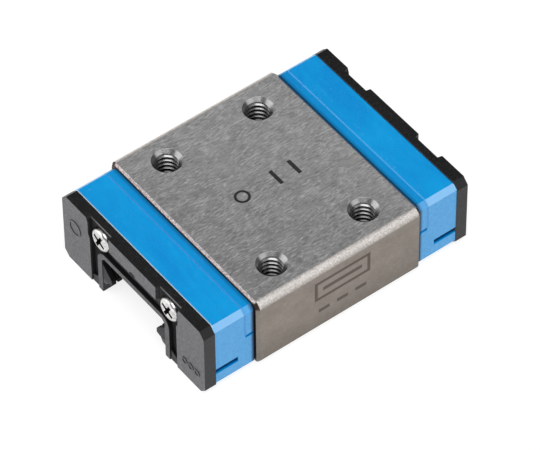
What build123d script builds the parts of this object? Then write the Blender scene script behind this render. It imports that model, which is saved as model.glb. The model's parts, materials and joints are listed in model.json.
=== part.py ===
from build123d import *
import math
import os

# Miniature linear guide carriage, size 7: a ground steel casing that runs on a 7 mm rail,
# with two recirculating ball circuits, moulded end parts and wiping end seals.
# Millimetres. +X runs along the rail, +Z is up, the mounting face is on top.
# Origin: middle of the footprint, on the level of the lowest edge of the end seals.

os.makedirs("parts", exist_ok=True)

# casing
body_length = 14.3
body_width = 17.0
body_top = 6.5
body_bottom = 0.5
edge_radius = 0.6
end_bevel = 0.22
foot_bevel = 0.15
roof_radius = 0.25

# mounting holes, M2 x 0.4
hole_pitch_along = 8.0
hole_pitch_across = 12.0
thread_pitch = 0.4
thread_major = 2.0
thread_minor = 1.6
thread_depth = 2.5
drill_depth = 2.7
drill_tip = 0.48
thread_crest = 0.06
thread_flank = 0.36
thread_overlap = 0.06
thread_start_angle = 40
mouth_diameter = 2.3
hole_overrun = 0.1

# rail passage
passage_half = 3.7
passage_roof = 3.7

# ball circuits
ball_diameter = 1.5875
track_y = 3.62
track_z = 1.75
turn_radius = 1.62
return_rise = 0.55
balls_in_row = 9
balls_in_turn = 3
groove_radius = 0.82
tube_radius = 0.83
sleeve_outer = 2.2
sleeve_inner = 1.74
core_radius = 1.2
core_clearance = 0.02
ball_entry_x = 8.6

# retaining wires
wire_diameter = 0.2
wire_length = 18.7
wire_gap = 0.012
wire_hole_radius = 0.105
wire_cover = 0.08

# moulded end parts
guide_thickness = 0.8
end_half_width = 8.15
end_top = 6.3
end_bottom = 0.6
end_side_bevel = 0.4
cap_outer_x = 10.55
guide_step_z = 3.75
shadow_gap = 0.1
flare_start_x = 9.75
flare_half = 4.2
relief_start_x = 9.2
relief_half = 4.5
relief_top_z = 0.95
cap_rim_bevel = 0.07
guide_passage_half = 3.75
slot_start_x = 8.6
slot_z = 1.75
slot_height = 0.5
slot_depth = 0.3
skirt_top_z = 3.5
skirt_y = 7.8

# end seals
seal_half_width = 8.2
seal_top = 6.35
seal_bevel = 0.5
seal_floor_x = 11.15
recess_draft = 14
ear_foot_y = 4.92
ear_foot_z = 4.4
ear_side_y = 5.1
ear_side_z = 4.75
ear_bevel_z = 5.95
ear_top_y = 5.25
bar_half = 2.8
bar_bottom_z = 4.95
bar_corner = 0.1
bar_notch_half = 0.3
bar_notch_z = 5.25
seal_face_x = 11.5
lip_seat_x = 10.75
lip_outer_half = 4.15
lip_outer_roof = 4.1
lip_corner = 0.95
rim_half = 3.65
rim_corner = 0.3
plate_passage_half = 3.77
plate_passage_roof = 3.8

# wiping blades of the lips, as (start x, end x, tip y, lowest z at the tip)
front_blade = (11.08, 11.45, 2.6, 1.5)
blade_web = (10.95, 11.08, 2.95, 1.62)
rear_blade = (10.58, 10.95, 2.57, 1.6)
blade_root_y = 3.72
blade_root_low_z = 0.95
blade_root_high_z = 2.98
blade_tip_z = 1.92
blade_tip_bevel = 0.12

# feet of the seal plates between ears and lip
foot_x = 11.4
foot_top_z = 1.0
foot_slope = 0.35
foot_gap = 0.02

# end screws
screw_y = 3.95
screw_z = 5.0
screw_thread = 1.4
screw_head = 1.95
screw_head_height = 0.5
screw_face_x = 11.46
cross_angle = 28
screw_tip_x = 5.0
screw_seat_radius = 1.03
screw_clearance_radius = 0.75
screw_bore_overrun = 0.3
screw_crown = 0.3
screw_point = 0.2
shank_clearance = 0.01
cross_length = 1.25
cross_width = 0.28
cross_depth = 0.34
cross_middle_radius = 0.25

# derived
body_end = body_length / 2
guide_outer_x = body_end + guide_thickness
ball_pitch = math.pi * turn_radius / balls_in_turn
straight_half = ball_pitch * balls_in_row / 2
return_shift = math.sqrt((2 * turn_radius) ** 2 - return_rise ** 2)
return_y = track_y + return_shift
return_z = track_z + return_rise
turn_y = track_y + return_shift / 2
turn_z = track_z + return_rise / 2
slope_y = return_shift / (2 * turn_radius)
slope_z = return_rise / (2 * turn_radius)
wire_y = track_y - ball_diameter / 2 - wire_diameter / 2 - wire_gap
screw_seat_x = screw_face_x - screw_head_height
cap_thickness = cap_outer_x - guide_outer_x
plate_thickness = seal_face_x - cap_outer_x
lip_thickness = seal_face_x - lip_seat_x


def save(piece, label):
    piece.part.label = label
    export_step(piece.part, f"parts/{label}.step")


def edges_at_height(piece, direction, height):
    tolerance = 0.01
    edges = piece.edges().filter_by(direction)
    return edges.filter_by_position(Axis.Z, height - tolerance, height + tolerance)


def screw_clearance(start_x, length):
    with BuildPart() as bores:
        with BuildSketch(Plane.YZ.offset(start_x)):
            with Locations((screw_y, screw_z), (-screw_y, screw_z)):
                Circle(screw_clearance_radius)
        extrude(amount=length)
    return bores.part


def turn_plane(side):
    # cross-section plane at the start of the rear turn, local X from loaded to return row
    return Plane(
        origin=(straight_half, side * turn_y, turn_z),
        x_dir=(0, side * slope_y, slope_z),
        z_dir=(1, 0, 0),
    )


def turn_axis(side):
    plane = turn_plane(side)
    return Axis(plane.origin, plane.y_dir)


def turn_tube(side):
    with BuildPart() as tube:
        with BuildSketch(turn_plane(side)):
            with Locations((-turn_radius, 0)):
                Circle(tube_radius)
        revolve(axis=turn_axis(side), revolution_arc=180)
    return tube.part


def turn_pocket(side):
    with BuildPart() as pocket:
        with BuildSketch(turn_plane(side)):
            with Locations((-turn_radius, 0)):
                Circle(tube_radius)
            with Locations((-turn_radius / 2, 0)):
                Rectangle(turn_radius, 2 * tube_radius)
        revolve(axis=turn_axis(side), revolution_arc=180)
    return pocket.part


def turn_core(side):
    with BuildPart() as core:
        with BuildSketch(turn_plane(side)):
            with Locations((-core_radius / 2, 0)):
                Rectangle(core_radius, 2 * (tube_radius - core_clearance))
        revolve(axis=turn_axis(side), revolution_arc=180)
    return core.part


def thread_cutter():
    start = -thread_depth
    height = thread_depth + hole_overrun
    root = thread_major / 2 - thread_minor / 2
    with BuildPart() as cutter:
        with BuildLine() as path:
            Helix(pitch=thread_pitch, height=height, radius=thread_minor / 2, center=(0, 0, start))
        with BuildSketch(Plane(origin=path.line @ 0, x_dir=(1, 0, 0), z_dir=path.line % 0)):
            with BuildLine():
                Polyline(
                    (-thread_overlap, -thread_flank / 2),
                    (root, -thread_crest / 2),
                    (root, thread_crest / 2),
                    (-thread_overlap, thread_flank / 2),
                    close=True,
                )
            make_face()
        sweep(path=path.line, is_frenet=True)
    return cutter.part


def tapped_hole():
    # drilled, countersunk and threaded, opening upward at local Z = 0
    minor = thread_minor / 2
    mouth = mouth_diameter / 2
    with BuildPart() as hole:
        with BuildSketch(Plane.XZ):
            with BuildLine():
                Polyline(
                    (0, hole_overrun),
                    (mouth, hole_overrun),
                    (mouth, 0),
                    (minor, minor - mouth),
                    (minor, -drill_depth),
                    (0, -drill_depth - drill_tip),
                    close=True,
                )
            make_face()
        revolve(axis=Axis.Z)
        # the thread starts away from the seam of the bore
        add(thread_cutter().rotate(Axis.Z, -thread_start_angle))
    return hole.part


def make_casing():
    hole = tapped_hole()
    with BuildPart() as casing:
        with BuildSketch(Plane.YZ.offset(-body_end)):
            with Locations((0, (body_top + body_bottom) / 2)):
                Rectangle(body_width, body_top - body_bottom)
            with Locations((0, (passage_roof + body_bottom) / 2)):
                Rectangle(2 * passage_half, passage_roof - body_bottom, mode=Mode.SUBTRACT)
        extrude(amount=body_length)
        fillet(edges_at_height(casing, Axis.X, body_top), edge_radius)
        chamfer(edges_at_height(casing, Axis.X, body_bottom), foot_bevel)
        fillet(edges_at_height(casing, Axis.X, passage_roof), roof_radius)
        chamfer(casing.faces().sort_by(Axis.Z)[-1].edges().filter_by(Axis.Y), end_bevel)
        # ball tracks and bores for the return sleeves
        with BuildSketch(Plane.YZ.offset(-body_end)):
            with Locations((track_y, track_z), (-track_y, track_z)):
                Circle(groove_radius)
            with Locations((return_y, return_z), (-return_y, return_z)):
                Circle(sleeve_outer / 2)
        extrude(amount=body_length, mode=Mode.SUBTRACT)
        # threaded seats of the end screws
        for end in (-1, 1):
            with BuildSketch(Plane.YZ.offset(end * body_end)):
                with Locations((screw_y, screw_z), (-screw_y, screw_z)):
                    Circle(screw_thread / 2)
            bore_depth = body_end - screw_tip_x + screw_bore_overrun
            extrude(amount=-end * bore_depth, mode=Mode.SUBTRACT)
        with Locations((0, 0, body_top)):
            with GridLocations(hole_pitch_along, hole_pitch_across, 2, 2):
                add(hole, mode=Mode.SUBTRACT)
    save(casing, "casing")


def guide_outline(inset):
    half = end_half_width - inset
    right = [
        (guide_passage_half, end_bottom),
        (skirt_y, end_bottom),
        (skirt_y, guide_step_z),
        (half, guide_step_z),
        (half, end_top - end_side_bevel),
        (end_half_width - end_side_bevel, end_top - inset),
    ]
    left = [(-y, z) for y, z in reversed(right)]
    roof = [(-guide_passage_half, guide_passage_half), (guide_passage_half, guide_passage_half)]
    return right + left + roof


def make_guide():
    with BuildPart() as guide:
        # a shallow rebate all round leaves a shadow line against the casing
        with BuildSketch(Plane.YZ.offset(body_end)):
            with BuildLine():
                Polyline(*guide_outline(shadow_gap), close=True)
            make_face()
        extrude(amount=shadow_gap)
        with BuildSketch(Plane.YZ.offset(body_end + shadow_gap)):
            with BuildLine():
                Polyline(*guide_outline(0), close=True)
            make_face()
        extrude(amount=guide_thickness - shadow_gap)
        for side in (-1, 1):
            add(turn_core(side))
        for side in (-1, 1):
            add(turn_tube(side), mode=Mode.SUBTRACT)
        with BuildSketch(Plane.YZ.offset(body_end)):
            with Locations((track_y, track_z), (-track_y, track_z)):
                Circle(tube_radius)
            with Locations((return_y, return_z), (-return_y, return_z)):
                Circle(tube_radius)
        extrude(amount=straight_half - body_end, mode=Mode.SUBTRACT)
        add(screw_clearance(body_end, guide_thickness), mode=Mode.SUBTRACT)
    return guide


def cap_passage_outline():
    # rail passage of the caps, with noses that hold the retaining wires
    half = rim_half + 0.05
    nose_y = wire_y - wire_cover
    right = [
        (half, 0.0),
        (half, 0.9),
        (3.33, 1.0),
        (3.1, 1.35),
        (nose_y, 1.48),
        (nose_y, 2.03),
        (half, 3.05),
        (half, half - rim_corner),
        (half - rim_corner, half),
    ]
    left = [(-y, z) for y, z in reversed(right)]
    return right + left


def make_cap():
    top_in = end_half_width - end_side_bevel
    with BuildPart() as cap:
        with BuildSketch(Plane.YZ.offset(guide_outer_x)):
            with BuildLine():
                Polyline(
                    (end_half_width, end_bottom),
                    (end_half_width, end_top - end_side_bevel),
                    (top_in, end_top),
                    (-top_in, end_top),
                    (-end_half_width, end_top - end_side_bevel),
                    (-end_half_width, end_bottom),
                    close=True,
                )
            make_face()
        extrude(amount=cap_thickness)
        chamfer(edges_at_height(cap, Axis.Y, end_top), cap_rim_bevel)
        # side skirts that reach past the guide to the casing, with the same shadow line
        skirt_height = skirt_top_z - end_bottom
        skirt_middle = end_bottom + skirt_height / 2
        for side in (-1, 1):
            with BuildSketch(Plane.YZ.offset(body_end + shadow_gap)):
                with Locations((side * (skirt_y + end_half_width) / 2, skirt_middle)):
                    Rectangle(end_half_width - skirt_y, skirt_height)
            extrude(amount=guide_thickness - shadow_gap)
            with BuildSketch(Plane.YZ.offset(body_end)):
                with Locations((side * (skirt_y + end_half_width - shadow_gap) / 2, skirt_middle)):
                    Rectangle(end_half_width - skirt_y - shadow_gap, skirt_height)
            extrude(amount=shadow_gap)
        # rail passage, opened wider where the loaded balls enter
        with BuildSketch(Plane.YZ.offset(guide_outer_x)):
            with BuildLine():
                Polyline(*cap_passage_outline(), close=True)
            make_face()
        extrude(amount=cap_thickness, mode=Mode.SUBTRACT)
        with BuildSketch(Plane.YZ.offset(guide_outer_x)):
            with Locations((0, passage_roof / 2)):
                Rectangle(2 * passage_half, passage_roof)
        extrude(amount=ball_entry_x - guide_outer_x, mode=Mode.SUBTRACT)
        # mouth toward the seal, flared, and relieved low down where no balls pass
        with BuildSketch(Plane.XY):
            with BuildLine():
                Polyline(
                    (flare_start_x, passage_half),
                    (cap_outer_x, flare_half),
                    (cap_outer_x, -flare_half),
                    (flare_start_x, -passage_half),
                    close=True,
                )
            make_face()
        extrude(amount=passage_roof, mode=Mode.SUBTRACT)
        relief_length = cap_outer_x - relief_start_x
        with Locations(((cap_outer_x + relief_start_x) / 2, 0, relief_top_z / 2)):
            Box(relief_length, 2 * relief_half, relief_top_z, mode=Mode.SUBTRACT)
        for side in (-1, 1):
            add(turn_pocket(side), mode=Mode.SUBTRACT)
        with BuildSketch(Plane.YZ.offset(guide_outer_x)):
            with Locations((wire_y, track_z), (-wire_y, track_z)):
                Circle(wire_hole_radius)
        extrude(amount=wire_length / 2 - guide_outer_x, mode=Mode.SUBTRACT)
        add(screw_clearance(guide_outer_x, cap_thickness), mode=Mode.SUBTRACT)
        # lubrication slots in both sides, open toward the seal
        for side in (-1, 1):
            with Locations(((slot_start_x + cap_outer_x) / 2, side * end_half_width, slot_z)):
                Box(cap_outer_x - slot_start_x, 2 * slot_depth, slot_height, mode=Mode.SUBTRACT)
    return cap


def seal_recess_outline():
    # recess around the screw heads and below the middle bar
    over = seal_top + 0.1
    right = [
        (ear_foot_y, -0.1),
        (ear_foot_y, ear_foot_z),
        (ear_side_y, ear_side_z),
        (ear_side_y, ear_bevel_z),
        (ear_top_y, seal_top),
        (ear_top_y, over),
        (bar_half, over),
        (bar_half, bar_bottom_z + bar_corner),
        (bar_half - bar_corner, bar_bottom_z),
        (bar_notch_half, bar_bottom_z),
        (0.2, bar_notch_z - 0.05),
    ]
    left = [(-y, z) for y, z in reversed(right)]
    return right + [(0, bar_notch_z)] + left


def seal_foot(side):
    inner_y = side * (lip_outer_half + foot_gap)
    outer_y = side * (ear_foot_y + foot_gap)
    with BuildPart() as foot:
        with BuildSketch(Plane.YZ.offset(seal_floor_x)):
            with BuildLine():
                Polyline(
                    (inner_y, 0),
                    (outer_y, 0),
                    (outer_y, foot_top_z - foot_slope),
                    (inner_y, foot_top_z),
                    close=True,
                )
            make_face()
        extrude(amount=foot_x - seal_floor_x)
    return foot.part


def lip_band():
    with BuildPart() as band:
        with BuildSketch(Plane.YZ.offset(lip_seat_x)):
            with Locations((0, lip_outer_roof / 2)):
                outline = Rectangle(2 * lip_outer_half, lip_outer_roof)
            fillet(outline.vertices().sort_by(Axis.Y)[-2:], lip_corner)
        extrude(amount=lip_thickness)
    return band.part


def make_seal_plate():
    with BuildPart() as plate:
        with BuildSketch(Plane.YZ.offset(cap_outer_x)):
            with Locations((0, seal_top / 2)):
                slab = Rectangle(2 * seal_half_width, seal_top)
            chamfer(slab.vertices(), seal_bevel)
        extrude(amount=plate_thickness)
        with BuildSketch(Plane.YZ.offset(seal_floor_x)):
            with BuildLine():
                Polyline(*seal_recess_outline(), close=True)
            make_face()
        extrude(amount=seal_face_x - seal_floor_x, taper=-recess_draft, mode=Mode.SUBTRACT)
        with BuildSketch(Plane.YZ.offset(screw_seat_x)):
            with Locations((screw_y, screw_z), (-screw_y, screw_z)):
                Circle(screw_seat_radius)
        extrude(amount=plate_thickness, mode=Mode.SUBTRACT)
        add(screw_clearance(cap_outer_x, plate_thickness), mode=Mode.SUBTRACT)
        for side in (-1, 1):
            add(seal_foot(side))
        # rail passage behind the lip, and the seat of the lip
        with BuildSketch(Plane.YZ.offset(cap_outer_x)):
            with Locations((0, plate_passage_roof / 2)):
                Rectangle(2 * plate_passage_half, plate_passage_roof)
        extrude(amount=plate_thickness, mode=Mode.SUBTRACT)
        add(lip_band(), mode=Mode.SUBTRACT)
    return plate


def lip_blades(start_x, end_x, tip_y, low_z):
    # one pair of wiping blades that reach into the grooves of the rail
    with BuildPart() as blades:
        for side in (-1, 1):
            with BuildSketch(Plane.YZ.offset(start_x)):
                with BuildLine():
                    Polyline(
                        (side * blade_root_y, blade_root_low_z),
                        (side * 3.28, low_z - 0.45),
                        (side * 3.05, low_z - 0.1),
                        (side * tip_y, low_z),
                        (side * tip_y, blade_tip_z),
                        (side * (tip_y + blade_tip_bevel), blade_tip_z + blade_tip_bevel),
                        (side * blade_root_y, blade_root_high_z),
                        close=True,
                    )
                make_face()
            extrude(amount=end_x - start_x)
    return blades.part


def make_seal_lip():
    shoulder_z = rim_half - rim_corner
    with BuildPart() as lip:
        add(lip_band())
        with BuildSketch(Plane.YZ.offset(lip_seat_x)):
            with BuildLine():
                Polyline(
                    (rim_half, -0.1),
                    (rim_half, shoulder_z),
                    (shoulder_z, rim_half),
                    (-shoulder_z, rim_half),
                    (-rim_half, shoulder_z),
                    (-rim_half, -0.1),
                    close=True,
                )
            make_face()
        extrude(amount=lip_thickness, mode=Mode.SUBTRACT)
        for blade in (front_blade, blade_web, rear_blade):
            add(lip_blades(*blade))
    return lip


def make_screw(side):
    with BuildPart() as screw:
        with BuildSketch(Plane.YZ.offset(screw_tip_x)):
            with Locations((side * screw_y, screw_z)):
                Circle(screw_thread / 2 - shank_clearance)
        extrude(amount=screw_seat_x - screw_tip_x)
        with BuildSketch(Plane.YZ.offset(screw_seat_x)):
            with Locations((side * screw_y, screw_z)):
                Circle(screw_head / 2)
        extrude(amount=screw_head_height)
        fillet(screw.faces().sort_by(Axis.X)[-1].edges(), screw_crown)
        chamfer(screw.faces().sort_by(Axis.X)[0].edges(), screw_point)
        with BuildSketch(Plane.YZ.offset(screw_face_x)):
            with Locations((side * screw_y, screw_z)):
                Rectangle(cross_width, cross_length, rotation=cross_angle)
                Rectangle(cross_length, cross_width, rotation=cross_angle)
                Circle(cross_middle_radius)
        extrude(amount=-cross_depth, mode=Mode.SUBTRACT)
    return screw


def make_wire(side):
    with BuildPart() as wire:
        with BuildSketch(Plane.YZ.offset(-wire_length / 2)):
            with Locations((side * wire_y, track_z)):
                Circle(wire_diameter / 2)
        extrude(amount=wire_length)
    return wire


def make_sleeve(side):
    with BuildPart() as sleeve:
        with BuildSketch(Plane.YZ.offset(-body_end)):
            with Locations((side * return_y, return_z)):
                Circle(sleeve_outer / 2)
                Circle(sleeve_inner / 2, mode=Mode.SUBTRACT)
        extrude(amount=body_length)
    return sleeve


def make_row(y, z):
    first = -(balls_in_row - 1) / 2
    with BuildPart() as row:
        with Locations(*[((first + i) * ball_pitch, y, z) for i in range(balls_in_row)]):
            Sphere(ball_diameter / 2)
    return row


def make_turn_balls(side):
    spots = []
    for i in range(balls_in_turn):
        angle = math.pi * (i + 0.5) / balls_in_turn
        across = -turn_radius * math.cos(angle)
        along = turn_radius * math.sin(angle)
        spots.append((straight_half + along, side * (turn_y + across * slope_y), turn_z + across * slope_z))
    with BuildPart() as balls:
        with Locations(*spots):
            Sphere(ball_diameter / 2)
    return balls


def save_both_ends(piece, label):
    # "rear" is the +X end, "front" is its mirror image at the -X end
    save(piece, f"{label[0]}_rear{label[1]}")
    with BuildPart() as front:
        mirror(piece.part, about=Plane.YZ)
    save(front, f"{label[0]}_front{label[1]}")


make_casing()
save_both_ends(make_guide(), ("inner_guide", ""))
save_both_ends(make_cap(), ("end_cap", ""))
save_both_ends(make_seal_plate(), ("seal_plate", ""))
save_both_ends(make_seal_lip(), ("seal_lip", ""))
for side, hand in ((1, "_left"), (-1, "_right")):
    save_both_ends(make_screw(side), ("end_screw", hand))
    save_both_ends(make_turn_balls(side), ("turn_balls", hand))
    save(make_wire(side), f"retaining_wire{hand}")
    save(make_sleeve(side), f"return_sleeve{hand}")
    save(make_row(side * track_y, track_z), f"loaded_balls{hand}")
    save(make_row(side * return_y, return_z), f"return_balls{hand}")
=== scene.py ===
"""Looks of the miniature linear guide carriage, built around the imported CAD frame."""

import json
import math

import bmesh
import bpy
from mathutils import Matrix, Vector


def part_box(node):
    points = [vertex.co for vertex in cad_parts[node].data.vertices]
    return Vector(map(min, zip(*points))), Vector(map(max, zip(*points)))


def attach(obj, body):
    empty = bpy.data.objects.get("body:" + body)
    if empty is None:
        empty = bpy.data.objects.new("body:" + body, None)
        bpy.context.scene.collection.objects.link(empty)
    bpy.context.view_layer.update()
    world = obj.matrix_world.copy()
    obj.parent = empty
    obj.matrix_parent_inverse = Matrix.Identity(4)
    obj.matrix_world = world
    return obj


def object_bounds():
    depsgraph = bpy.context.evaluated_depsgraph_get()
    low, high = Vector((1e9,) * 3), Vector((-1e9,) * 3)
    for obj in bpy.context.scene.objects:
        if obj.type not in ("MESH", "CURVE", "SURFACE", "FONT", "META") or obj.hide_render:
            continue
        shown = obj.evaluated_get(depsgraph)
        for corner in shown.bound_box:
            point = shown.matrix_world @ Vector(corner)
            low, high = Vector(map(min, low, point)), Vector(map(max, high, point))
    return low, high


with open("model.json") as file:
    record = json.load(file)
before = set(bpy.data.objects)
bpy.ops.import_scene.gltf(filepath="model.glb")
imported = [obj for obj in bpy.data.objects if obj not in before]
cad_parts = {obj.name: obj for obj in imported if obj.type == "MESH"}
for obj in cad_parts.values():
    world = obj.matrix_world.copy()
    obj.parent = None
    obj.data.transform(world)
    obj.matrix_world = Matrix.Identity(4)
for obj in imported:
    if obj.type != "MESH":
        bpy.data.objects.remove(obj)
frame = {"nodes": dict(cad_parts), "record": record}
cad_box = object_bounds()
scene = bpy.context.scene
nodes = frame["nodes"]
MM = 0.001  # in metres, the unit of every Blender object

# ------------------------------------------------- sizes read from the frame, in mm


def top_corner_mm(node):
    return [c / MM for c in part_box(node)[1]]


def middle_mm(node):
    return [(low + high) / 2 / MM for low, high in zip(*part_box(node))]


BODY_END, BODY_SIDE, BODY_TOP = top_corner_mm("casing")
BODY_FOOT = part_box("casing")[0][2] / MM
CAP_SIDE, CAP_TOP = top_corner_mm("end_cap_rear")[1:]
SEAL_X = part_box("seal_plate_rear")[0][0] / MM
SEAL_FACE = top_corner_mm("seal_plate_rear")[0]
SCREW_FACE = top_corner_mm("end_screw_rear_left")[0]
SCREW_Y, SCREW_Z = middle_mm("end_screw_rear_left")[1:]

mounts = {mount["name"]: mount for mount in frame["record"]["mounts"]}
bolts = mounts["table_bolts"]["dims"]
BOLT_X, BOLT_Y = bolts["spacing_x_mm"] / 2, bolts["spacing_y_mm"] / 2
HOLES = [(BOLT_X * i, BOLT_Y * j) for i in (-1, 1) for j in (-1, 1)]

# sizes of details that no box gives
JOINT_X = BODY_END + 0.8  # seam between guide plate and end cap
HOLE_REACH = 1.17  # just outside the countersunk mouths
HOLE_FLOOR = 3.2  # just below the drilled bottoms
CROSS_REACH = 0.70  # the screws' cross recess stays inside this radius
OPENING_HALF, OPENING_TOP = 4.5, 3.8  # the caps' opening for the rail
SLOTS_BELOW = 3.5  # the slots in the caps' sides lie below this level
RECESS_HALF, RECESS_TOP = 6.5, BODY_TOP - 0.35  # the seals' recesses lie within these
BAR_HALF, BAR_FOOT = 2.85, 3.7  # the paler part of the recess, round the middle bar
BLADE_FOOT = 1.35  # the lips' blades lie above this level

# ---------------------------------------------------------------------- node helpers


class Mat:
    """A principled material with short calls for its nodes. Positions are in mm."""

    def __init__(self, name):
        self.m = bpy.data.materials.new(name)
        self.m.use_nodes = True
        self.t = self.m.node_tree
        self.t.nodes.clear()
        self.out = self.new("ShaderNodeOutputMaterial")
        self.bsdf = self.new("ShaderNodeBsdfPrincipled")
        self.t.links.new(self.bsdf.outputs[0], self.out.inputs[0])
        coord = self.new("ShaderNodeTexCoord")
        self.geo = self.new("ShaderNodeNewGeometry")
        self.pos = self.vmath("MULTIPLY", (coord, "Object"), (1 / MM, 1 / MM, 1 / MM))
        split = self.new("ShaderNodeSeparateXYZ")
        self.feed(split, 0, self.pos)
        self.x, self.y, self.z = [(split, i) for i in range(3)]
        turned = self.new("ShaderNodeSeparateXYZ")
        self.feed(turned, 0, (self.geo, "True Normal"))
        self.nx, self.ny, self.nz = [(turned, i) for i in range(3)]

    def new(self, kind, **props):
        node = self.t.nodes.new(kind)
        for key, value in props.items():
            setattr(node, key, value)
        return node

    def feed(self, node, key, value):
        """value is a number, a colour or vector, a node, or (node, output)."""
        sock = node.inputs[key]
        if isinstance(value, bpy.types.Node):
            value = (value, 0)
        if isinstance(value, tuple) and isinstance(value[0], bpy.types.Node):
            self.t.links.new(value[0].outputs[value[1]], sock)
        else:
            sock.default_value = value

    def op(self, kind, a, b=0.0, clamp=False):
        node = self.new("ShaderNodeMath", operation=kind, use_clamp=clamp)
        self.feed(node, 0, a)
        self.feed(node, 1, b)
        return node

    def add(self, a, b):
        return self.op("ADD", a, b)

    def mul(self, *values):
        total = values[0]
        for value in values[1:]:
            total = self.op("MULTIPLY", total, value)
        return total

    def abs(self, a):
        return self.op("ABSOLUTE", a)

    def invert(self, a):
        return self.op("SUBTRACT", 1.0, a, clamp=True)

    def vmath(self, kind, a, b):
        node = self.new("ShaderNodeVectorMath", operation=kind)
        self.feed(node, 0, a)
        self.feed(node, 1, b)
        return node

    def ramp(self, value, lo, hi, out_lo=0.0, out_hi=1.0, smooth=False):
        node = self.new("ShaderNodeMapRange", clamp=True)
        node.interpolation_type = "SMOOTHSTEP" if smooth else "LINEAR"
        for key, v in (("Value", value), ("From Min", lo), ("From Max", hi),
                       ("To Min", out_lo), ("To Max", out_hi)):
            self.feed(node, key, v)
        return node

    def away(self, value, centre):
        return self.abs(self.op("SUBTRACT", value, centre))

    def near(self, value, centre, half, soft=0.01):
        """1 where value is within half of centre."""
        return self.ramp(self.away(value, centre), half + soft, half)

    def distance(self, a, b):
        """From the origin to the point (a, b)."""
        return self.op("SQRT", self.add(self.mul(a, a), self.mul(b, b)))

    def noise(self, stretch=(1, 1, 1), detail=3.0, rough=0.55, offset=(0, 0, 0), warp=0.0):
        """Noise whose features measure about 1 / stretch mm along each axis."""
        v = self.vmath("MULTIPLY", self.pos, stretch)
        v = self.vmath("ADD", v, offset)
        node = self.new("ShaderNodeTexNoise")
        for key, value in (("Vector", v), ("Scale", 1.0), ("Detail", detail),
                           ("Roughness", rough), ("Distortion", warp)):
            self.feed(node, key, value)
        return node

    def scratches(self, stretch, offset, width):
        """Thin random lines: the zero crossings of a stretched noise."""
        n = self.noise(stretch, detail=2.0, offset=offset)
        return self.ramp(self.away(n, 0.5), width, 0.0)

    def mix(self, fac, a, b, blend="MIX"):
        node = self.new("ShaderNodeMix", data_type="RGBA", blend_type=blend)
        self.feed(node, 0, fac)
        self.feed(node, 6, a)
        self.feed(node, 7, b)
        return (node, 2)

    def level(self, fac, a, b):
        node = self.new("ShaderNodeMix", data_type="FLOAT")
        self.feed(node, 0, fac)
        self.feed(node, 2, a)
        self.feed(node, 3, b)
        return node

    def rounded(self, radius_mm):
        node = self.new("ShaderNodeBevel", samples=6)
        node.inputs["Radius"].default_value = radius_mm * MM
        return node

    def edges(self, radius_mm, lo=0.03, hi=0.3):
        """1 along edges, where the rounded normal leaves the true one."""
        dot = self.vmath("DOT_PRODUCT", self.rounded(radius_mm), (self.geo, "True Normal"))
        return self.ramp(self.op("SUBTRACT", 1.0, (dot, 1)), lo, hi, smooth=True)

    def bump(self, height, strength, depth_mm, round_mm):
        node = self.new("ShaderNodeBump")
        self.feed(node, "Strength", strength)
        self.feed(node, "Distance", depth_mm * MM)
        self.feed(node, "Height", height)
        self.feed(node, "Normal", self.rounded(round_mm))
        return node

    def finish(self, colour, rough, normal, metallic=0.0, specular=0.5):
        self.feed(self.bsdf, "Base Color", colour)
        self.feed(self.bsdf, "Roughness", rough)
        self.feed(self.bsdf, "Normal", normal)
        self.bsdf.inputs["Metallic"].default_value = metallic
        self.bsdf.inputs["Specular IOR Level"].default_value = specular
        return self.m


def rgb(r, g, b):
    """A linear colour from sRGB 0..255."""

    def linear(c):
        c /= 255.0
        return c / 12.92 if c <= 0.04045 else ((c + 0.055) / 1.055) ** 2.4

    return (linear(r), linear(g), linear(b), 1.0)


def grey(v):
    return (v, v, v, 1.0)


# ------------------------------------------------------------------------- materials


def steel_top(m):
    """Ground face: fine lines along the rail with a few stray scratches, and painted shade darkening it
    toward the near corner.
    """
    lines = m.noise((1.9, 11.5, 6.0), detail=5.0, rough=0.75, warp=0.35)
    hair = m.noise((2.6, 18.0, 9.0), detail=3.0, rough=0.7, offset=(9, 2, 5))
    cloud = m.noise((0.7, 1.1, 0.9), detail=4.0, rough=0.6, offset=(3, 7, 1))
    cross = m.scratches((0.5, 1.9, 1.0), (11, 4, 2), 0.03)
    stray = m.scratches((1.1, 0.9, 1.0), (3, 14, 2), 0.012)
    value = m.add(m.ramp(lines, 0.36, 0.64, 0.0, 0.60), m.ramp(hair, 0.34, 0.66, 0.0, 0.46))
    value = m.add(value, m.ramp(cloud, 0.3, 0.7, -0.20, 0.10))
    value = m.add(value, m.mul(cross, m.ramp(hair, 0.42, 0.56), 0.55))
    value = m.add(value, m.mul(stray, 0.26))
    # painted shade: the top face grows darker toward the near corner, at lower x and y
    value = m.add(value, m.ramp(m.add(m.x, m.y), -14.0, 6.0, -0.22, 0.06))
    colour = m.mix(m.op("MAXIMUM", value, 0.0), grey(0.38), grey(0.98))
    rough = m.ramp(lines, 0.3, 0.7, 0.38, 0.54)
    height = m.add(m.mul(lines, 0.6), m.mul(hair, 0.4))
    return colour, rough, height


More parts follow.
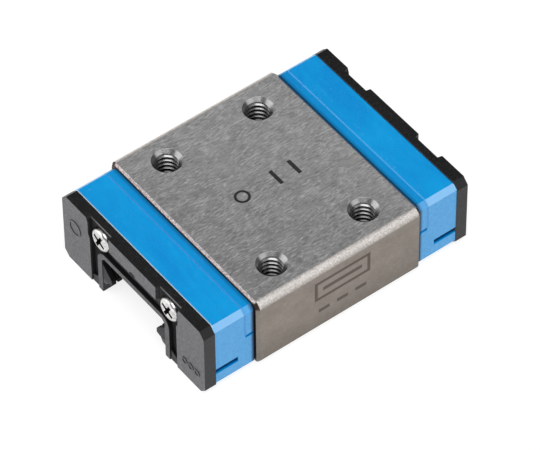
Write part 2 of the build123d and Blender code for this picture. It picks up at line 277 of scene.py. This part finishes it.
def steel_side(m):
    """Satin side face, warmer, with painted shade darkening it toward its foot."""
    grain = m.noise((3.0, 8.0, 9.0), detail=4.0, rough=0.75)
    cloud = m.noise((0.7, 1.0, 1.0), detail=3.0, rough=0.6, offset=(5, 2, 9))
    wipe = m.scratches((1.4, 1.0, 2.6), (2, 8, 3), 0.008)
    value = m.add(m.ramp(grain, 0.38, 0.62, 0.0, 0.6), m.ramp(cloud, 0.3, 0.7, -0.05, 0.35))
    value = m.add(value, m.mul(wipe, 0.25))
    colour = m.mix(value, (0.215, 0.186, 0.160, 1), (0.33, 0.295, 0.262, 1))
    # painted shade: the side face darkens toward its foot
    foot = m.ramp(m.z, BODY_FOOT, BODY_FOOT + 2.7, 0.78, 1.0)
    shade = m.new("ShaderNodeCombineXYZ")
    for axis in range(3):
        m.feed(shade, axis, foot)
    colour = m.mix(1.0, colour, shade, blend="MULTIPLY")
    return colour, m.ramp(grain, 0.3, 0.7, 0.46, 0.62), grain


def side_marks(m):
    """Plain engraved outline with a line in it, and three short dashes below."""
    middle_x, middle_z, half_x, half_z = 0.2, 4.35, 2.3, 0.82
    along = m.op("SUBTRACT", m.away(m.x, middle_x), half_x)
    across = m.op("SUBTRACT", m.away(m.z, middle_z), half_z)
    outline = m.near(m.op("MAXIMUM", along, across), 0.0, 0.13)
    inner = m.mul(m.near(m.z, middle_z, 0.17), m.near(m.x, middle_x, half_x - 0.6))
    dashes = 0.0
    for centre in (-1.4, 0.2, 1.8):
        dash = m.mul(m.near(m.x, centre, 0.48), m.near(m.z, 2.25, 0.16))
        dashes = m.op("MAXIMUM", dashes, dash)
    return m.op("MAXIMUM", m.op("MAXIMUM", outline, inner), dashes)


def top_marks(m):
    """Dark laser marks: one small ring and two short bars."""
    ring_x, middle_y, ring_radius = -1.9, 0.1, 0.5
    reach = m.distance(m.away(m.x, ring_x), m.away(m.y, middle_y))
    ring = m.near(reach, ring_radius, 0.095)
    bars = 0.0
    for centre in (1.05, 2.65):
        bar = m.mul(m.near(m.x, centre, 0.15), m.near(m.y, middle_y, 0.72))
        bars = m.op("MAXIMUM", bars, bar)
    return m.op("MAXIMUM", ring, bars)


def steel_regions(m):
    """Masks that are 1 on the block's faces, rounded edges, bevels and in its holes."""
    top = m.mul(m.ramp(m.nz, 0.99, 0.999), m.ramp(m.z, BODY_TOP - 0.05, BODY_TOP - 0.01))
    side = m.mul(m.ramp(m.abs(m.ny), 0.99, 0.999), m.ramp(m.abs(m.y), BODY_SIDE - 0.1, BODY_SIDE - 0.02))
    end = m.mul(m.ramp(m.abs(m.nx), 0.99, 0.999), m.ramp(m.abs(m.x), BODY_END - 0.1, BODY_END - 0.02))
    slanted = m.mul(m.ramp(m.nz, 0.03, 0.12), m.ramp(m.nz, 0.999, 0.99))
    slanted = m.mul(slanted, m.ramp(m.z, BODY_TOP - 0.9, BODY_TOP - 0.7))
    in_hole = 0.0
    for hole_x, hole_y in HOLES:
        reach = m.distance(m.away(m.x, hole_x), m.away(m.y, hole_y))
        in_hole = m.op("MAXIMUM", in_hole, m.ramp(reach, HOLE_REACH, HOLE_REACH - 0.015))
    in_hole = m.mul(in_hole, m.invert(top), m.ramp(m.z, HOLE_FLOOR, HOLE_FLOOR + 0.1))
    rim = m.mul(slanted, m.invert(in_hole))
    upright = m.mul(m.ramp(m.abs(m.nx), 0.2, 0.3), m.ramp(m.abs(m.ny), 0.2, 0.3))
    return {
        "top": top,
        "side": side,
        "end": end,
        "in_hole": in_hole,
        "rim": rim,
        "bevelled": m.mul(rim, m.ramp(m.abs(m.nx), 0.3, 0.5)),
        "bevel_low": m.ramp(m.z, BODY_TOP - 0.14, BODY_TOP - 0.19),
        "corner": m.ramp(m.abs(m.ny), 0.15, 0.25),
        "upright": m.mul(upright, m.ramp(m.abs(m.nz), 0.1, 0.05)),
    }


def steel_colour(m, at, top_colour, side_colour, speck):
    """The colour of every region of the block, without its marks, with painted highlights on the rounded
    edges and bevels and painted shade on the end faces, the bevels' lower part and in the holes.
    """
    # painted highlight: the rounded long edges are pale, brightest next to the top face and fading down
    # toward the side
    rim_painted_highlight = m.mix(m.ramp(speck, 0.36, 0.64), rgb(206, 198, 192), rgb(246, 243, 240))
    fade = m.add(m.ramp(m.z, BODY_TOP - 0.60, BODY_TOP - 0.12), m.ramp(speck, 0.3, 0.7, -0.25, 0.25))
    rim_highlight_colour = m.mix(m.op("MAXIMUM", fade, 0.0), side_colour, rim_painted_highlight)
    # painted highlight on the end bevels, with painted shade on their lower part and at their corners
    bevel_light_and_shade = m.mix(m.ramp(speck, 0.36, 0.64), rgb(128, 116, 114), rgb(246, 232, 230))
    bevel_painted_shade = m.op("MAXIMUM", at["bevel_low"], at["corner"])
    bevel_light_and_shade = m.mix(bevel_painted_shade, bevel_light_and_shade, rgb(66, 54, 50))
    cloud = m.noise((3.0, 3.0, 3.0), detail=4.0, offset=(6, 6, 2))
    inside_colour = m.mix(cloud, grey(0.20), grey(0.34))
    # painted shade: the block's end faces, beside the caps, are nearly black
    end_painted_shade = m.mix(cloud, (0.035, 0.028, 0.024, 1), (0.10, 0.085, 0.075, 1))
    # painted shade: the holes darken with depth, nearly black at the bottom
    hole_depth_shade = m.ramp(m.z, BODY_TOP - 0.3, BODY_TOP - 2.2)
    hole_shaded_colour = m.mix(hole_depth_shade, m.mix(cloud, grey(0.26), grey(0.42)), grey(0.07))

    colour = m.mix(at["top"], inside_colour, top_colour)
    colour = m.mix(at["side"], colour, side_colour)
    colour = m.mix(at["end"], colour, end_painted_shade)
    colour = m.mix(at["upright"], colour, side_colour)
    colour = m.mix(at["rim"], colour, rim_highlight_colour)
    colour = m.mix(at["bevelled"], colour, bevel_light_and_shade)
    return m.mix(at["in_hole"], colour, hole_shaded_colour)


def steel_gloss(m, at, top_rough, side_rough, speck, marked):
    """The roughness of every region of the block."""
    rough = m.level(at["top"], 0.45, top_rough)
    rough = m.level(at["side"], rough, side_rough)
    rough = m.level(at["rim"], rough, m.ramp(speck, 0.3, 0.7, 0.46, 0.34))
    dull = m.op("MAXIMUM", at["upright"], m.mul(at["bevelled"], at["bevel_low"]))
    rough = m.level(dull, rough, 0.55)
    rough = m.level(at["in_hole"], rough, 0.26)
    return m.level(marked, rough, 0.7)


def ground_steel():
    m = Mat("ground_steel")
    at = steel_regions(m)
    top_colour, top_rough, top_height = steel_top(m)
    side_colour, side_rough, side_height = steel_side(m)
    speck = m.noise((8.0, 8.0, 8.0), detail=5.0, rough=0.8, offset=(1, 4, 8))

    printed = m.mul(at["top"], top_marks(m))
    near_side = m.ramp(m.y, -BODY_SIDE + 0.1, -BODY_SIDE + 0.02)
    engraved = m.mul(at["side"], near_side, side_marks(m))
    marked = m.op("MAXIMUM", printed, engraved)

    colour = steel_colour(m, at, top_colour, side_colour, speck)
    colour = m.mix(m.mul(printed, 0.93), colour, grey(0.035))
    colour = m.mix(m.mul(engraved, 0.75), colour, (0.115, 0.095, 0.08, 1))
    rough = steel_gloss(m, at, top_rough, side_rough, speck, marked)

    height = m.add(m.mul(top_height, at["top"]), m.mul(side_height, at["side"]))
    height = m.add(height, m.mul(speck, at["rim"], 1.6))
    height = m.op("SUBTRACT", height, m.mul(engraved, 0.8))
    return m.finish(colour, rough, m.bump(height, 0.6, 0.05, 0.03), metallic=1.0)


def moulded(name, dark, base, light, edge, rough=(0.30, 0.44), grain=9.0, depth=0.03,
            round_mm=0.06, worn=0.45, extra=None, specular=0.5):
    """Injection-moulded plastic: faint flow clouds, fine grain, lighter edges."""
    m = Mat(name)
    flow = m.noise((0.6, 0.22, 0.6), detail=3.0, rough=0.5, warp=0.8)
    fine = m.noise((grain,) * 3, detail=4.0, rough=0.65, offset=(4, 1, 7))
    micro = m.noise((grain * 4,) * 3, detail=2.0, offset=(2, 3, 4))
    scuff = m.scratches((0.9, 0.5, 0.9), (7, 3, 1), 0.004)
    colour = m.mix(m.ramp(flow, 0.35, 0.65), dark, base)
    colour = m.mix(m.ramp(fine, 0.40, 0.75, 0.0, 0.55), colour, light)
    colour = m.mix(m.mul(scuff, m.ramp(fine, 0.45, 0.6, 0.0, 0.35)), colour, edge)
    wear = m.mul(m.edges(round_mm), m.ramp(fine, 0.3, 0.6, 0.5, 1.0), worn)
    colour = m.mix(wear, colour, edge)
    gloss = m.ramp(fine, 0.3, 0.7, *rough)
    if extra:
        colour, gloss = extra(m, colour, gloss)
    height = m.add(m.mul(fine, 0.7), m.mul(micro, 0.3))
    normal = m.bump(height, 0.3, depth, round_mm)
    return m.finish(colour, gloss, normal, specular=specular)


def blue_light_and_shade(m, colour, gloss):
    """Painted light and shade on the blue: paler sides, painted highlights on the slants, along the
    joints and by the seal, a darker seam line on the sides, and painted shade by the steel, in the side
    slots and inside the openings.
    """
    fine = m.noise((5.0,) * 3, detail=4.0, offset=(8, 2, 5))
    # painted light: the side faces are paler than the top
    side_colour = m.mix(m.ramp(fine, 0.35, 0.65), rgb(72, 150, 208), rgb(82, 162, 218))
    colour = m.mix(m.ramp(m.abs(m.ny), 0.9, 0.98), colour, side_colour)
    # painted highlight on the slanted edges between top and sides, stronger on the caps than on the
    # guide plates
    slant_highlight = m.mul(m.ramp(m.abs(m.ny), 0.25, 0.4), m.ramp(m.nz, 0.2, 0.35))
    slant_highlight = m.mul(slant_highlight, m.ramp(m.abs(m.x), JOINT_X - 0.02, JOINT_X + 0.02, 0.3, 0.8))
    colour = m.mix(slant_highlight, colour, rgb(150, 202, 246))
    on_top = m.ramp(m.z, CAP_TOP - 0.09, CAP_TOP - 0.03)
    # painted highlight: a thin light line along the joint on the top faces and on the small walls in the
    # seam there
    joint = m.near(m.abs(m.x), JOINT_X + 0.03, 0.06, soft=0.03)
    colour = m.mix(m.mul(joint, on_top, 0.45), colour, rgb(80, 190, 250))
    groove_highlight = m.mul(m.ramp(m.abs(m.nx), 0.3, 0.5), joint, m.ramp(m.z, CAP_TOP - 0.09, CAP_TOP - 0.07))
    colour = m.mix(groove_highlight, colour, rgb(96, 188, 248))
    # painted highlight: a pale line along the top edge next to the seal
    seal_edge_highlight = m.near(m.x, -SEAL_X + 0.045, 0.045, soft=0.02)
    colour = m.mix(m.mul(seal_edge_highlight, on_top), colour, rgb(214, 238, 255))
    seam = m.mul(joint, m.invert(on_top), m.ramp(m.z, 3.7, 3.76), 0.4)
    colour = m.mix(seam, colour, rgb(0, 112, 190))
    # painted shade: the blue darkens toward the steel block, less on the top faces
    shade_by_steel = m.ramp(m.abs(m.x), BODY_END + 0.42, BODY_END + 0.12, smooth=True)
    shade_by_steel = m.mul(shade_by_steel, m.ramp(m.nz, 0.9, 0.5, 0.45, 0.97))
    colour = m.mix(shade_by_steel, colour, rgb(0, 26, 56))
    # painted shade: darker blue in the slots low in the caps' sides
    low = m.ramp(m.z, SLOTS_BELOW + 0.1, SLOTS_BELOW - 0.1)
    slot_shade = m.mul(m.ramp(m.abs(m.y), CAP_SIDE - 0.06, CAP_SIDE - 0.2), low)
    colour = m.mix(m.mul(slot_shade, 0.85), colour, rgb(0, 58, 112))
    # painted shade: near black inside the opening for the rail
    between = m.ramp(m.abs(m.y), OPENING_HALF + 0.1, OPENING_HALF - 0.1)
    passage_shade = m.mul(between, m.ramp(m.z, OPENING_TOP + 0.05, OPENING_TOP - 0.05))
    gloss = m.level(passage_shade, gloss, 0.85)
    return m.mix(m.mul(passage_shade, 0.95), colour, rgb(5, 8, 12)), gloss


def sealed_shade(m, colour, gloss):
    """Painted light on the end faces, which are greyer, painted glints on the top faces, and painted
    shade in the recesses beside them, which are dull and dark.
    """
    # painted light: the end faces are painted grey, far lighter than the black plastic
    face = m.ramp(m.abs(m.nx), 0.9, 0.98)
    mottled = m.noise((4.0,) * 3, detail=5.0, rough=0.75, offset=(2, 9, 4))
    lit_face_colour = m.mix(m.ramp(mottled, 0.35, 0.65), rgb(74, 74, 77), rgb(110, 110, 113))
    colour = m.mix(m.mul(face, 0.8), colour, lit_face_colour)
    # painted glints: pale specks on the top faces
    speck = m.noise((9.0,) * 3, detail=4.0, rough=0.8, offset=(6, 2, 7))
    on_top = m.mul(m.ramp(m.nz, 0.9, 0.98), m.ramp(speck, 0.55, 0.66))
    colour = m.mix(on_top, colour, rgb(66, 64, 62))
    # painted shade: the recesses are near black and dull, with painted light on the paler part round the
    # middle bar
    inward = m.ramp(m.abs(m.x), SEAL_FACE - 0.04, SEAL_FACE - 0.14)
    between = m.ramp(m.abs(m.y), RECESS_HALF + 0.1, RECESS_HALF - 0.1)
    sunk_shade = m.mul(inward, between, m.ramp(m.z, RECESS_TOP + 0.05, RECESS_TOP - 0.05))
    by_bar = m.mul(m.ramp(m.abs(m.y), BAR_HALF + 0.25, BAR_HALF - 0.25),
                   m.ramp(m.z, BAR_FOOT - 0.1, BAR_FOOT + 0.1))
    paler = m.mul(by_bar, m.ramp(mottled, 0.35, 0.65, 0.4, 1.0))
    recess_shade_colour = m.mix(paler, rgb(4, 4, 5), rgb(72, 72, 74))
    return m.mix(m.mul(sunk_shade, 0.92), colour, recess_shade_colour), m.level(sunk_shade, gloss, 0.92)


def lip_shade(m, colour, gloss):
    """Painted light on the lip's end faces, which are greyer, and painted shade on the blades inside the
    opening, darker than the rim in front of them.
    """
    inward = m.ramp(m.abs(m.x), SEAL_FACE - 0.03, SEAL_FACE - 0.08)
    inner = m.mul(inward, m.ramp(m.z, BLADE_FOOT - 0.25, BLADE_FOOT + 0.25))
    mottled = m.noise((5.0,) * 3, detail=5.0, rough=0.75, offset=(3, 6, 1))
    # painted light on the end faces, which are greyer than the black rubber
    face = m.mul(m.ramp(m.abs(m.nx), 0.9, 0.98), m.invert(inner))
    lit_face_colour = m.mix(m.ramp(mottled, 0.35, 0.65), rgb(62, 62, 64), rgb(104, 104, 107))
    colour = m.mix(m.mul(face, 0.8), colour, lit_face_colour)
    # painted shade: near black on the blades inside the opening
    return m.mix(m.mul(inner, 0.9), colour, rgb(3, 3, 4)), m.level(inner, gloss, 0.95)


def screw_darkening(m, colour, gloss):
    """Darker in the cross recess, and dark grease in blotches round it."""
    reach = m.distance(m.away(m.abs(m.y), SCREW_Y), m.away(m.z, SCREW_Z))
    bottom = m.ramp(m.abs(m.x), SCREW_FACE - 0.08, SCREW_FACE - 0.14)
    recess = m.op("MAXIMUM", m.ramp(m.abs(m.nx), 0.8, 0.6), bottom)
    cross = m.mul(recess, m.ramp(reach, CROSS_REACH + 0.02, CROSS_REACH - 0.02))
    blotch = m.noise((2.2,) * 3, detail=4.0, rough=0.65, offset=(7, 5, 1))
    darkened = m.op("MAXIMUM", cross, m.ramp(blotch, 0.58, 0.66, 0.0, 0.75))
    return m.mix(darkened, colour, grey(0.03)), m.level(darkened, gloss, 0.55)


def small_metal(name, dark, light, rough, grain, extra=None):
    """Plated or polished small steel parts, faintly mottled."""
    m = Mat(name)
    fine = m.noise((grain,) * 3, detail=4.0, rough=0.6)
    cloud = m.noise((1.3,) * 3, detail=2.0, offset=(5, 1, 2))
    colour = m.mix(m.ramp(fine, 0.3, 0.7), dark, light)
    colour = m.mix(m.ramp(cloud, 0.35, 0.65, 0.0, 0.3), colour, dark)
    gloss = m.ramp(fine, 0.3, 0.7, *rough)
    if extra:
        colour, gloss = extra(m, colour, gloss)
    normal = m.bump(fine, 0.3, depth_mm=0.015, round_mm=0.03)
    return m.finish(colour, gloss, normal, metallic=1.0)


MATERIALS = {
    "casing": ground_steel(),
    "end_cap": moulded("cap_blue", rgb(0, 150, 230), rgb(4, 168, 242), rgb(24, 174, 244),
                       rgb(150, 208, 250), round_mm=0.01, worn=0.3, extra=blue_light_and_shade,
                       specular=0.25),
    "inner_guide": moulded("guide_blue", rgb(0, 146, 222), rgb(0, 155, 230), rgb(16, 162, 234),
                           rgb(140, 202, 248), round_mm=0.01, worn=0.2, extra=blue_light_and_shade,
                           specular=0.25),
    "seal_plate": moulded("seal_black", rgb(13, 13, 14), rgb(19, 19, 20), rgb(34, 34, 36),
                          rgb(70, 70, 74), rough=(0.30, 0.50), grain=5.0, depth=0.12,
                          worn=0.15, extra=sealed_shade, specular=0.30),
    "seal_lip": moulded("lip_rubber", rgb(16, 16, 17), rgb(24, 24, 25), rgb(38, 38, 40),
                        rgb(76, 76, 80), rough=(0.42, 0.60), grain=8.0, depth=0.06, worn=0.35,
                        extra=lip_shade, specular=0.30),
    "end_screw": small_metal("screw_steel", grey(0.42), (0.90, 0.89, 0.87, 1), (0.16, 0.32), 4.0,
                             extra=screw_darkening),
    "return_sleeve": moulded("sleeve_resin", rgb(206, 192, 150), rgb(226, 214, 176),
                             rgb(238, 228, 196), rgb(240, 234, 214), rough=(0.45, 0.6)),
    "retaining_wire": small_metal("wire_steel", grey(0.52), grey(0.76), (0.22, 0.34), 4.0),
    "ball": small_metal("ball_steel", grey(0.70), grey(0.86), (0.05, 0.12), 3.0),
}


def material_for(node_name):
    for prefix, material in MATERIALS.items():
        if node_name.startswith(prefix):
            return material
    return MATERIALS["ball"]


for node_name, node_object in nodes.items():
    node_object.data.materials.clear()
    node_object.data.materials.append(material_for(node_name))
    if "_balls_" in node_name or node_name.startswith("retaining_wire"):
        node_object.data.shade_smooth()

# ------------------------------------------------------------- raised mould marks


def ridge_piece(name, outlines):
    """Low closed ridges on the near seal's face: each outline is a list of (points, lift)."""
    bm = bmesh.new()
    for rings in outlines:
        loops = []
        for points, lift in rings:
            x = (-SEAL_FACE - lift) * MM
            loops.append([bm.verts.new((x, y * MM, z * MM)) for y, z in points])
        count = len(loops[0])
        for one, two in zip(loops, loops[1:] + loops[:1]):
            for i in range(count):
                j = (i + 1) % count
                bm.faces.new((one[i], one[j], two[j], two[i]))
    bmesh.ops.recalc_face_normals(bm, faces=bm.faces)
    mesh = bpy.data.meshes.new(name)
    bm.to_mesh(mesh)
    bm.free()
    piece = bpy.data.objects.new(name, mesh)
    scene.collection.objects.link(piece)
    mesh.materials.append(MATERIALS["seal_plate"])
    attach(piece, "carriage")


def circle_points(y, z, radius, count=32):
    turn = 2 * math.pi / count
    return [(y + radius * math.cos(i * turn), z + radius * math.sin(i * turn)) for i in range(count)]


def ring_ridge(y, z, radius, width, height, sink=0.03):
    inner, outer = radius - width / 2, radius + width / 2
    return [
        (circle_points(y, z, outer), -sink),
        (circle_points(y, z, outer - width * 0.25), height),
        (circle_points(y, z, inner + width * 0.25), height),
        (circle_points(y, z, inner), -sink),
    ]


ridge_piece("mould_ring", [ring_ridge(6.75, 3.9, 0.62, 0.2, 0.05)])
ridge_piece("mould_dots", [ring_ridge(y, 1.6, 0.26, 0.16, 0.05) for y in (-7.3, -6.6, -5.9)])

# ---------------------------------------------------------------------------- camera

CAMERA_AZIMUTH, CAMERA_ELEVATION, CAMERA_ROLL = -37.008, 48.935, -0.656
CAMERA_SIDEWAYS, CAMERA_UPWARD, CAMERA_DISTANCE = -0.325, 0.650, 317.124
SENSOR, LENS = 36.0, 302.2
target = Vector((0, 0, BODY_TOP / 2 * MM))


def aim_camera():
    az, el, roll = (math.radians(a) for a in (CAMERA_AZIMUTH, CAMERA_ELEVATION, CAMERA_ROLL))
    back = Vector((math.sin(az) * math.cos(el), -math.cos(az) * math.cos(el), math.sin(el)))
    right = Vector((math.cos(az), math.sin(az), 0))
    up = back.cross(right)
    right, up = (
        math.cos(roll) * right + math.sin(roll) * up,
        math.cos(roll) * up - math.sin(roll) * right,
    )
    offset = CAMERA_DISTANCE * back - CAMERA_SIDEWAYS * right - CAMERA_UPWARD * up
    camera = bpy.data.objects.new("camera", bpy.data.cameras.new("camera"))
    camera.data.lens = LENS
    camera.data.sensor_width = SENSOR
    camera.data.clip_start = 0.01
    camera.data.clip_end = 10.0
    turned = Matrix((right, up, back)).transposed().to_4x4()
    camera.matrix_world = Matrix.Translation(target + offset * MM) @ turned
    scene.collection.objects.link(camera)
    scene.camera = camera


aim_camera()

# ---------------------------------------------------------------------------- studio


def softbox(name, direction, distance, width, height, radiance):
    data = bpy.data.lights.new(name, "AREA")
    data.shape = "RECTANGLE"
    data.size = width
    data.size_y = height
    data.energy = radiance * math.pi * width * height
    light = bpy.data.objects.new(name, data)
    outward = Vector(direction).normalized()
    light.location = target + outward * distance
    light.rotation_euler = outward.to_track_quat("Z", "Y").to_euler()
    scene.collection.objects.link(light)


def sky_fade(tree, direction, start, end, dim):
    """1 where the direction's part is below start, down to dim where it's above end."""
    fade = tree.nodes.new("ShaderNodeMapRange")
    fade.interpolation_type = "SMOOTHSTEP"
    for key, value in (("From Min", start), ("From Max", end), ("To Min", 1.0), ("To Max", dim)):
        fade.inputs[key].default_value = value
    tree.links.new(direction, fade.inputs[0])
    return fade.outputs[0]


def studio_sky():
    """White low down, dim grey overhead, and dimmer toward the rear end."""
    world = bpy.data.worlds.new("studio")
    world.use_nodes = True
    tree = world.node_tree
    coord = tree.nodes.new("ShaderNodeTexCoord")
    split = tree.nodes.new("ShaderNodeSeparateXYZ")
    tree.links.new(coord.outputs["Generated"], split.inputs[0])
    both = tree.nodes.new("ShaderNodeMath")
    both.operation = "MULTIPLY"
    tree.links.new(sky_fade(tree, split.outputs[2], 0.02, 0.50, 0.26), both.inputs[0])
    tree.links.new(sky_fade(tree, split.outputs[0], 0.35, 0.95, 0.22), both.inputs[1])
    tree.links.new(both.outputs[0], tree.nodes["Background"].inputs["Strength"])
    tree.nodes["Background"].inputs["Color"].default_value = (1, 1, 1, 1)
    scene.world = world


softbox("softbox_left", (-0.75, 0.52, 0.40), 0.25, 0.20, 0.20, 1.4)
softbox("softbox_right", (0.40, -0.75, 0.52), 0.25, 0.20, 0.20, 1.1)
softbox("fill", (-0.22, -0.35, 0.91), 0.45, 0.30, 0.30, 3.2)
studio_sky()
scene.view_settings.view_transform = "Standard"


FLOOR_SIZE = 1.5  # half its side, in metres
FLOOR_GAP = 0.02  # below the part, in mm, so that no faces coincide


def floor_paper():
    """Bright white paper, brighter toward the front end, and clear from below."""
    m = Mat("floor_paper")
    fibre = m.noise((1.2, 1.2, 1.2), detail=3.0)
    m.feed(m.bsdf, "Base Color", m.mix(fibre, grey(0.34), grey(0.36)))
    m.bsdf.inputs["Roughness"].default_value = 1.0
    m.bsdf.inputs["Specular IOR Level"].default_value = 0.0
    m.bsdf.inputs["Emission Color"].default_value = (1, 1, 1, 1)
    m.feed(m.bsdf, "Emission Strength", m.ramp(m.x, -12.0, -60.0, 0.80, 1.35, smooth=True))
    clear = m.new("ShaderNodeBsdfTransparent")
    one_sided = m.new("ShaderNodeMixShader")
    m.feed(one_sided, 0, (m.geo, "Backfacing"))
    m.feed(one_sided, 1, m.bsdf)
    m.feed(one_sided, 2, clear)
    m.feed(m.out, 0, one_sided)
    return m.m


def make_floor():
    bm = bmesh.new()
    bmesh.ops.create_grid(bm, x_segments=8, y_segments=8, size=FLOOR_SIZE)
    mesh = bpy.data.meshes.new("floor")
    bm.to_mesh(mesh)
    bm.free()
    floor = bpy.data.objects.new("floor", mesh)
    floor.location.z = cad_box[0][2] - FLOOR_GAP * MM
    scene.collection.objects.link(floor)
    mesh.materials.append(floor_paper())


make_floor()
